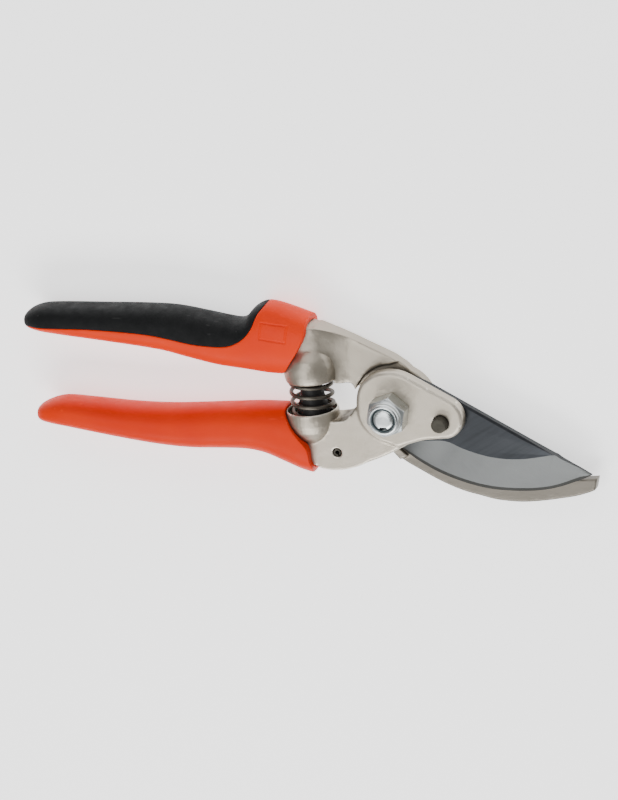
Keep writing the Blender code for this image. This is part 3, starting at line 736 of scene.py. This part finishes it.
def make_blade():
    """The blade plate: flat face, hollow bevel, honed land and chamfered back."""
    lower = spline(CUTTING_EDGE, BLADE_SPANS) + [CUTTING_EDGE[-1]]
    upper = spline(BEVEL_TOP, BLADE_SPANS) + [BEVEL_TOP[-1]]
    flat_count = (FLAT_KNOTS - 1) * BLADE_SPANS + 1
    flat_end = Vector(upper[flat_count - 1])
    bm = bmesh.new()
    rows = bevel_rows(bm, lower, upper, flat_count)
    for row, after in zip(rows, rows[1:]):
        for k in range(len(row) - 1):
            slot = LAND_SLOT if k < 2 else BEVEL_SLOT
            add_face(bm, (row[k], after[k], after[k + 1], row[k + 1]), slot)
    back = back_line(flat_end)
    back_low = [bm.verts.new((p.x, p.y, BLADE_BOTTOM)) for p, out, cut in back]
    back_mid = [bm.verts.new((p.x, p.y, BLADE_TOP - cut)) for p, out, cut in back]
    back_high = [bm.verts.new((p.x - out.x * cut, p.y - out.y * cut, BLADE_TOP)) for p, out, cut in back]
    start = rows[flat_count - 1][-1]
    start_low = bm.verts.new((flat_end.x, flat_end.y, BLADE_BOTTOM))
    lows = [start_low] + back_low
    mids = [start] + back_mid
    highs = [start] + back_high
    for k in range(len(lows) - 1):
        add_face(bm, (lows[k + 1], lows[k], mids[k], mids[k + 1]), SIDE_SLOT)
        add_face(bm, (mids[k + 1], mids[k], highs[k], highs[k + 1]), SIDE_SLOT)
    add_face(bm, [back_low[-1], back_mid[-1], back_high[-1]] + rows[0][::-1], SIDE_SLOT)
    falls = [row[-1] for row in rows[flat_count - 1:]]
    falls_low = [start_low] + [bm.verts.new((v.co.x, v.co.y, BLADE_BOTTOM)) for v in falls[1:]]
    for k in range(len(falls) - 1):
        add_face(bm, (falls_low[k], falls_low[k + 1], falls[k + 1], falls[k]), SIDE_SLOT)
    add_face(bm, [falls_low[-1]] + rows[-1], SIDE_SLOT)
    add_face(bm, highs + [row[-1] for row in rows[:flat_count - 1]], FLAT_SLOT)
    add_face(bm, falls_low[::-1] + back_low + [row[0] for row in rows], FLAT_SLOT)
    blade = finish_mesh("blade_plate", bm)
    for material in (blade_flat, blade_bevel, blade_land_shade, blade_side):
        blade.data.materials.append(material)
    drill(blade, HOLE_R)
    drill(blade, RIVET_R + FIT / 2, RIVET_AT)
    blade.data.shade_smooth()
    blade.data.set_sharp_from_angle(angle=BLADE_SHARP)
    return blade


place(make_blade(), "blade_side", "blade_steel", None, "blade")


# ---------------------------------------------------------------- fasteners

# Profiles of (radius, height), measured from a piece's lower or upper face
NUT_FLANKS = [(0, 0), (6.9, 0), (7.55, 0.4), (7.55, 5.5), (7.1, 6.0), (6.3, 6.45), (5.95, 6.7), (5.8, 7.2)]
NUT_COLLAR = [(5.75, -0.9), (5.5, -0.35), (5.1, -0.05), (4.9, 0), (0, 0)]
NUT_MOUTH = [(HOLE_R, -0.6), (4.75, 0.3), (0, 0.3)]
HEAD_CHAMFER = [(0, 0), (6.6, 0), (7.6, 0.6), (7.6, 3.2), (0, 3.2)]
BOLT_POINT = [(BOLT_R - 0.1, -1.1), (3.75, -0.65), (3.3, -0.3), (2.6, -0.12), (1.6, -0.04), (0, -0.02)]
RIVET_HEAD = [(RIVET_R, -0.35), (RIVET_R - 0.12, -0.1), (RIVET_R - 0.35, 0), (1.6, -0.06), (0, -0.08)]

THREAD_PITCH = 1.0
THREAD_DEPTH = 0.28
THREAD_START = 12.0             # the shank is plain below this height
THREAD_STOP = 1.6               # the thread ends so far below the nut's top
SHANK_PLAY = 0.02
HEAD_FLOOR = 0.02
SLOT_ANGLE = -95                # direction of the keyway in the bolt's end, degrees
SLOT_AT = 3.1                   # its distance from the axis
SLOT_SIZE = (2.6, 1.1, 4.0)     # length, width and depth
RIVET_SUNK = 0.3                # the rivet's head lies so far below the ear's face
PIN_BORE_R = 0.75
PIN_CHAMFER = 0.25
PIN_FLOOR = 0.62
PIN_OPENING = -60               # direction of the roll pin's slit, degrees
PIN_SLIT = 16                   # half of the slit's width, degrees
PIN_STEPS = 60
WASHER_CHAMFER = 0.15
INSERT_BORE_R = 4.1
INSERT_R = 4.28
INSERT_RISE = 0.5               # the insert's collar above its CAD solid


def raised(profile, height):
    """A profile lifted to a height."""
    return [(radius, height + rise) for radius, rise in profile]


def make_nut():
    """A hexagon nut with chamfered corners and the round collar that holds its insert."""
    nut = prism("lock_nut", hexagon(), NUT_FLOOR, NUT_TOP)
    crown = turned("crown", raised(NUT_FLANKS, NUT_FLOOR) + raised(NUT_COLLAR, NUT_TOP))
    combine(nut, crown, "INTERSECT")
    combine(nut, turned("bore", [(0, MIDDLE), (HOLE_R, MIDDLE)] + raised(NUT_MOUTH, NUT_TOP)), "DIFFERENCE")
    return soften(nut, voxel=0.09, rounds=14)


def bolt_shank():
    """The shank's profile: plain at first, then threaded up to its rounded end."""
    profile = [(0, 1), (BOLT_R, 1)]
    z = HEAD_TOP + 0.2
    while z < NUT_TOP - THREAD_STOP:
        if z < THREAD_START:
            profile.append((BOLT_R - SHANK_PLAY, z))
        else:
            profile += [(BOLT_R - THREAD_DEPTH, z), (BOLT_R, z + THREAD_PITCH / 2)]
        z += THREAD_PITCH
    return profile + raised(BOLT_POINT, NUT_TOP)


def make_bolt():
    """The pivot bolt: hexagon head below, threaded end with a keyway above."""
    bolt = prism("pivot_bolt_body", hexagon(), HEAD_FLOOR, HEAD_TOP)
    combine(bolt, turned("head", HEAD_CHAMFER), "INTERSECT")
    combine(bolt, turned("shank", bolt_shank()), "UNION")
    length, width, depth = SLOT_SIZE
    outline = [(-length / 2, -width / 2), (length / 2, -width / 2), (length / 2, width / 2),
               (-length / 2, width / 2)]
    keyway = prism("keyway", outline, NUT_TOP - depth, NUT_TOP + 1)
    angle = math.radians(SLOT_ANGLE)
    keyway.location = Vector((SLOT_AT * math.cos(angle), SLOT_AT * math.sin(angle), 0)) * MM
    combine(bolt, keyway, "DIFFERENCE")
    return soften(bolt, voxel=0.11, rounds=2)


def make_rivet():
    """The rivet that holds the blade to the ear; its head has a rounded rim and a shallow dish."""
    profile = [(0, RIVET_FLOOR), (RIVET_R, RIVET_FLOOR)] + raised(RIVET_HEAD, EAR_FACE - RIVET_SUNK)
    return turned("blade_rivet_body", profile, RIVET_AT, "Z", 96)


def make_washer():
    """The washer between the bolt's head and the levers."""
    bottom, top = (corner.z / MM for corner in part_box("head_washer"))
    inner = WASHER_R - 0.2
    profile = [(HOLE_R, bottom), (inner, bottom), (WASHER_R, bottom + WASHER_CHAMFER),
               (WASHER_R, top - WASHER_CHAMFER), (inner, top), (HOLE_R, top)]
    return turned_ring("head_washer_ring", profile, 128)


def make_roll_pin():
    """A rolled tube with a lengthwise slit and chamfered ends."""
    end_r = ROLL_PIN_R - PIN_CHAMFER
    profile = [(end_r, PIN_FLOOR), (ROLL_PIN_R, 0.95), (ROLL_PIN_R, LEVER_FACE - 0.5),
               (end_r, LEVER_FACE - 0.12), (PIN_BORE_R, LEVER_FACE - 0.2), (PIN_BORE_R, 0.7)]
    rings = []
    for i in range(PIN_STEPS + 1):
        angle = math.radians(PIN_OPENING + PIN_SLIT + (360 - 2 * PIN_SLIT) * i / PIN_STEPS)
        across, up = math.cos(angle), math.sin(angle)
        rings.append([(ROLL_PIN_AT[0] + r * across, ROLL_PIN_AT[1] + r * up, z) for r, z in profile])
    return finish_mesh("roll_pin_tube", loft(rings))


def make_insert():
    """The nylon ring in the nut's collar."""
    low, high = (corner.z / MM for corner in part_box("nut_insert"))
    top = high + INSERT_RISE
    profile = [(INSERT_BORE_R, low), (INSERT_R, low), (INSERT_R, top), (INSERT_BORE_R, top)]
    return turned_ring("nut_insert_ring", profile, 96)


place(make_nut(), "blade_side", "zinc_steel", zinc, "pivot_nut")
place(make_bolt(), "blade_side", "zinc_steel", zinc, "pivot_bolt")
place(make_rivet(), "blade_side", "rivet_steel", rivet_dark, "blade_rivet")
place(make_washer(), "blade_side", "zinc_steel", zinc, "head_washer")
place(make_roll_pin(), "blade_side", "rivet_steel", rivet_dark, "roll_pin")
place(make_insert(), "blade_side", "nylon", nylon, "nut_insert")


# ---------------------------------------------------------------- grips

UPPER_TOP = [(-134.0, 32.6), (-133.0, 35.2), (-129.5, 37.5), (-124.5, 38.4), (-105, 38.2), (-88, 37.9),
             (-77, 37.2), (-66, 35.0), (-58, 33.2), (-53.5, 32.6), (-50.5, 33.9), (-48, 36.6),
             (-45, 38.5), (-42, 39.0), (-36, 37.3), (-24, 32.4)]
UPPER_BOTTOM = [(-134.0, 32.6), (-133.0, 30.8), (-129.0, 29.4), (-122.5, 28.3), (-102.5, 25.4),
                (-82.5, 22.1), (-72.5, 19.3), (-62.5, 16.7), (-52.5, 15.1), (-42.5, 13.3), (-24, 12.6)]
UPPER_THICK = [(-134.0, 0.6), (-133.0, 3.4), (-129.5, 6.0), (-124, 7.6), (-100, 8.6), (-70, 9.2),
               (-50, 9.6), (-36, 9.9), (-24, 9.9)]
UPPER_FRONT = [(-27.3, 42), (-27.4, 34), (-27.7, 31), (-28.3, 27.8), (-31.2, 22.8), (-34.8, 17.8),
               (-39.1, 11.5), (-41.1, 8)]
PAD_EDGE = [(-140, 31.9), (-130, 31.6), (-110, 31.6), (-90, 30.2), (-80, 28.6), (-70, 26.3), (-60.5, 25.3),
            (-55, 25.8), (-50.5, 28.0), (-47, 31.7), (-44.8, 36.2), (-42, 39.5), (-40, 43)]
LOWER_TOP = [(-133.4, -2.2), (-132.4, 0.2), (-128.5, 2.4), (-122.9, 3.6), (-112.5, 2.7), (-97, 1.1),
             (-82.5, 0.5), (-62.5, 1.0), (-50, 1.3), (-39, 1.0), (-24, 0.6)]
LOWER_BOTTOM = [(-133.4, -2.2), (-132.4, -4.3), (-128.5, -5.5), (-122.5, -6.5), (-102.5, -10.5),
                (-88, -13.1), (-76, -14.4), (-62.5, -14.6), (-54, -15.0), (-47.5, -16.6), (-41, -19.7),
                (-34.2, -22.9), (-24, -25.5)]
LOWER_THICK = [(-133.4, 0.6), (-132.4, 3.4), (-128.5, 5.8), (-122, 7.4), (-100, 8.4), (-60, 9.1),
               (-42, 9.8), (-24, 9.9)]
LOWER_FRONT = [(-39.6, 8), (-39.2, 2), (-38.9, -0.5), (-37.6, -3), (-35.9, -6.2), (-33.9, -9.1),
               (-31.6, -12.2), (-31.0, -14.5), (-31.0, -18.0), (-30.5, -20.8), (-31.6, -24), (-33, -28)]
LOWER_DOME = [(0, LOWER_CUP_RIM), (9.2, LOWER_CUP_RIM), (9.5, -1.2), (9.55, -3), (9.4, -5.2), (8.7, -7.6),
              (7.3, -10), (5.3, -12.2), (3.0, -13.7), (0, -14.2)]
UPPER_DOME = [(0, UPPER_CUP_RIM), (9.0, UPPER_CUP_RIM), (9.4, 11.4), (9.6, 13.4), (9.4, 16.2),
              (8.5, 19.1), (6.6, 21.8), (3.6, 23.6), (0, 24.2)]
BAR_THICK = [(-134.0, 4.6), (-118, 8.6), (-60, 9.6), (-42, 9.6), (-34, 8.4), (-24, 6.9)]
BAR_END = -118                  # the levers' bars reach so far back
BAR_ROUNDNESS = 4.0
GRIP_ROUNDNESS = 2.5            # 2 is an ellipse, more is squarer
GRIP_FRONT = -24
WALL = 2.6                      # a grip's wall at its front; it grows by WALL_GROWTH towards the end
WALL_GROWTH = 1.2
THINNEST = 0.25
RING_POINTS = 96
PAD_SEAM = 0.05                 # gap between the shell and the pad


def stations(start, stop):
    """Places along X, close together at a grip's rounded end and wider apart after it."""
    places = []
    x = start
    while x < stop - 0.01:
        places.append(x)
        from_end = x - start
        if from_end < 1:
            x += 0.15
        elif from_end < 8:
            x += 0.4
        else:
            x += 1.0
    return places + [stop]


def grip_rings(top, bottom, thick, start, stop, inset, roundness):
    """Rounded cross-sections of a grip along X; inset is a function of x."""
    rings = []
    for x in stations(start, stop):
        high = height_at(top, x) - inset(x)
        low = height_at(bottom, x) + inset(x)
        half = max((high - low) / 2, THINNEST)
        deep = max(height_at(thick, x) - inset(x), THINNEST)
        section = []
        for i in range(RING_POINTS):
            angle = 2 * math.pi * i / RING_POINTS
            c, s = math.cos(angle), math.sin(angle)
            y = (high + low) / 2 + half * math.copysign(abs(c) ** (2 / roundness), c)
            z = MIDDLE + deep * math.copysign(abs(s) ** (2 / roundness), s)
            section.append((x, y, z))
        rings.append(section)
    return rings


def grip_body(name, top, bottom, thick, front):
    """The outer shape of a grip, cut at its slanting front edge."""
    rings = grip_rings(top, bottom, thick, top[0][0], GRIP_FRONT, lambda x: 0.0, GRIP_ROUNDNESS)
    body = finish_mesh(name, loft(rings))
    edge = spline(front) + [front[-1]]
    outline = [(0, edge[-1][1]), (0, edge[0][1])] + edge
    combine(body, prism("front", outline, CUT_BOTTOM, CUT_TOP), "DIFFERENCE")
    return body


def bore(top, bottom):
    """The hollow for the lever's bar."""
    def inset(x):
        return WALL + WALL_GROWTH * min(1.0, max(0.0, (-40 - x) / 60)) - FIT

    rings = grip_rings(top, bottom, BAR_THICK, BAR_END - FIT, GRIP_FRONT + 0.1, inset, BAR_ROUNDNESS)
    return finish_mesh("bore", loft(rings))


def dome(profile, centre_x):
    """A spring cup's outside with the fitting gap round it."""
    grown = [(radius + FIT if radius else 0, along) for radius, along in profile]
    return turned("dome", grown, (centre_x, MIDDLE), "Y", 96)


def pad_region(lift):
    """Everything on the pad's side of the curved seam, which is moved up by lift."""
    edge = [(x, y + lift) for x, y in PAD_EDGE]
    return prism("pad_region", spline(edge) + [edge[-1], (-40, 60), (-140, 60)], CUT_BOTTOM, CUT_TOP)


def make_lower_grip():
    """The orange sleeve of the lower handle."""
    grip = grip_body("lower_grip_sleeve", LOWER_TOP, LOWER_BOTTOM, LOWER_THICK, LOWER_FRONT)
    combine(grip, bore(LOWER_TOP, LOWER_BOTTOM), "DIFFERENCE")
    combine(grip, dome(LOWER_DOME, LOWER_CUP_X), "DIFFERENCE")
    return soften(grip, voxel=0.27, rounds=5, keep=0.4)


LABEL_CENTRE = (-38.9, 30.4)    # middle of the blank frame on the collar
LABEL_TURN = -9.0
LABEL_SIZE = (9.4, 5.6)
LABEL_LINE = 0.38               # half of the pressed line's width
LABEL_LINE_DEPTH = 0.4
LABEL_FIELD_DEPTH = 0.1
DIMPLE_AT = (-30.8, 35.8)
DIMPLE_R = 0.8
DIMPLE_DEPTH = 0.55


def press_collar(shell):
    """Press a blank frame line and a small round dimple into the collar's upper face."""
    turn = math.radians(-LABEL_TURN)
    for vert in shell.data.vertices:
        x, y, z = vert.co / MM
        if z < MIDDLE or x < LABEL_CENTRE[0] - LABEL_SIZE[0]:
            continue
        dx, dy = x - LABEL_CENTRE[0], y - LABEL_CENTRE[1]
        across = abs(dx * math.cos(turn) - dy * math.sin(turn)) - LABEL_SIZE[0] / 2
        along = abs(dx * math.sin(turn) + dy * math.cos(turn)) - LABEL_SIZE[1] / 2
        outside = math.hypot(max(across, 0), max(along, 0)) + min(max(across, along), 0)
        line = max(0.0, 1 - (outside / LABEL_LINE) ** 2)
        hole = max(0.0, 1 - (math.hypot(x - DIMPLE_AT[0], y - DIMPLE_AT[1]) / DIMPLE_R) ** 2)
        sunk = LABEL_FIELD_DEPTH if outside < -LABEL_LINE else 0.0
        vert.co.z -= max(LABEL_LINE_DEPTH * line, DIMPLE_DEPTH * hole, sunk) * MM


def make_upper_grip():
    """The orange shell of the upper handle and the black pad on its back."""
    shell = grip_body("upper_grip_moulding", UPPER_TOP, UPPER_BOTTOM, UPPER_THICK, UPPER_FRONT)
    combine(shell, pad_region(0.0), "DIFFERENCE")
    combine(shell, bore(UPPER_TOP, UPPER_BOTTOM), "DIFFERENCE")
    combine(shell, dome(UPPER_DOME, UPPER_CUP_X), "DIFFERENCE")
    soften(shell, voxel=0.25, rounds=5)
    press_collar(shell)
    pad = grip_body("upper_grip_soft_pad", UPPER_TOP, UPPER_BOTTOM, UPPER_THICK, UPPER_FRONT)
    combine(pad, pad_region(PAD_SEAM), "INTERSECT")
    combine(pad, bore(UPPER_TOP, UPPER_BOTTOM), "DIFFERENCE")
    soften(pad, voxel=0.25, rounds=5, keep=0.4)
    return shell, pad


place(make_lower_grip(), "blade_side", "orange_sleeve", sleeve_orange, "lower_grip")
upper_shell, upper_pad = make_upper_grip()
place(upper_shell, "hook_side", "orange_shell", shell_orange, "upper_grip_shell")
place(upper_pad, "hook_side", "black_pad", pad_black, "upper_grip_pad")


# ---------------------------------------------------------------- spring and buffer

def make_spring():
    """A compression spring with closed end turns."""
    sides = 20
    steps = 72
    low = LOWER_CUP_FLOOR + SPRING_GAP + WIRE_R
    high = UPPER_CUP_FLOOR - SPRING_GAP - WIRE_R
    closed = 2 * WIRE_R + CLOSED_GAP
    pitch = (high - low - 2 * closed) / (SPRING_TURNS - 2)
    rings = []
    for i in range(int(SPRING_TURNS * steps) + 1):
        turn = i / steps
        rise = min(turn, 1) * closed + min(max(turn - 1, 0), SPRING_TURNS - 2) * pitch
        rise += max(turn - SPRING_TURNS + 1, 0) * closed
        angle = 2 * math.pi * turn
        section = []
        for k in range(sides):
            around = 2 * math.pi * k / sides
            radius = SPRING_R + WIRE_R * math.cos(around)
            y = low + rise + WIRE_R * math.sin(around)
            section.append((SPRING_X + radius * math.cos(angle), y, MIDDLE + radius * math.sin(angle)))
        rings.append(section)
    return finish_mesh("main_spring_coil", loft(rings))


spring = make_spring()
spring.data.materials.append(wire_dark)
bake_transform(spring)
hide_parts("main_spring")


def make_buffer():
    """The rubber plug inside the coil: a foot in the lower cup and a tapering stem."""
    foot = LOWER_CUP_FLOOR + 0.1
    profile = [(0, foot), (5.6, foot), (5.8, foot + 0.3), (5.8, foot + 3.6), (5.6, foot + 4.2), (5.1, 1.6),
               (4.6, 3.4), (4.1, 6.0), (3.8, 8.2), (3.4, 9.8), (2.8, 10.6), (1.8, 10.9), (0, 11.0)]
    return turned("rubber_buffer_plug", profile, (SPRING_X, MIDDLE), "Y", 64)


place(make_buffer(), "blade_side", "black_rubber", buffer_black, "rubber_buffer")


# ---------------------------------------------------------------- floor, light and camera

low_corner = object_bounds()[0]
CENTRE = Vector((-0.02937, 0.00459, 0.016))     # the camera and the lights point at it, in metres
FLOOR_REACH = 3000.0
FLOOR_GAP = 0.2
FLOOR_GLOW = 1.25
WORLD_GLOW = 0.25


def make_floor():
    """A plain pale floor that glows a little, like a light table."""
    bm = bmesh.new()
    height = low_corner.z / MM - FLOOR_GAP
    corners = ((-1, -1), (1, -1), (1, 1), (-1, 1))
    bm.faces.new([bm.verts.new((x * FLOOR_REACH, y * FLOOR_REACH, height)) for x, y in corners])
    ground = finish_mesh("studio_floor", bm, outward=False)
    g = Graph("studio_white", Roughness=0.9)
    g.colour(g.mix(g.noise(3.0, 2), (0.93, 0.93, 0.93), (0.95, 0.95, 0.95)))
    g.shader.inputs["Specular IOR Level"].default_value = 0.1
    g.shader.inputs["Emission Color"].default_value = (1, 1, 1, 1)
    g.shader.inputs["Emission Strength"].default_value = FLOOR_GLOW
    ground.data.materials.append(g.material)


def make_light(name, place_at, size, power):
    """A soft box at a place in metres, with a size in metres and a power in watts."""
    lamp = bpy.data.lights.new(name, "AREA")
    lamp.shape = "RECTANGLE"
    lamp.size, lamp.size_y = size
    lamp.energy = power
    light = bpy.data.objects.new(name, lamp)
    light.location = place_at
    light.rotation_euler = (CENTRE - Vector(place_at)).to_track_quat("-Z", "Y").to_euler()
    bpy.context.collection.objects.link(light)


make_floor()
make_light("softbox_front", (-0.1, -0.75, 0.75), (1.0, 0.4), 11)
make_light("softbox_back", (0.1, 0.8, 0.6), (1.0, 0.4), 3)
make_light("softbox_top", (-0.2, 0.1, 1.1), (0.9, 0.5), 6)

world = bpy.data.worlds.new("studio_world")
bpy.context.scene.world = world
world.use_nodes = True
background = world.node_tree.nodes["Background"]
background.inputs["Color"].default_value = (1.0, 1.0, 1.0, 1.0)
background.inputs["Strength"].default_value = WORLD_GLOW

# The camera's axes in the object's frame, its distance in metres and its lens in millimetres
VIEW_RIGHT = Vector((0.9477, -0.1101, -0.2994))
VIEW_UP = Vector((0.0, 0.9385, -0.3452))
VIEW_BACK = Vector((0.319, 0.3271, 0.8895))
VIEW_DISTANCE = 3.0
LENS = 385.7
SENSOR = 36.0
camera_data = bpy.data.cameras.new("camera")
camera_data.lens = LENS
camera_data.sensor_width = SENSOR
camera_data.clip_end = 10.0
camera = bpy.data.objects.new("camera", camera_data)
rotation = Matrix((VIEW_RIGHT, VIEW_UP, VIEW_BACK)).transposed().to_4x4()
camera.matrix_world = Matrix.Translation(CENTRE + VIEW_BACK * VIEW_DISTANCE) @ rotation
bpy.context.collection.objects.link(camera)
bpy.context.scene.camera = camera
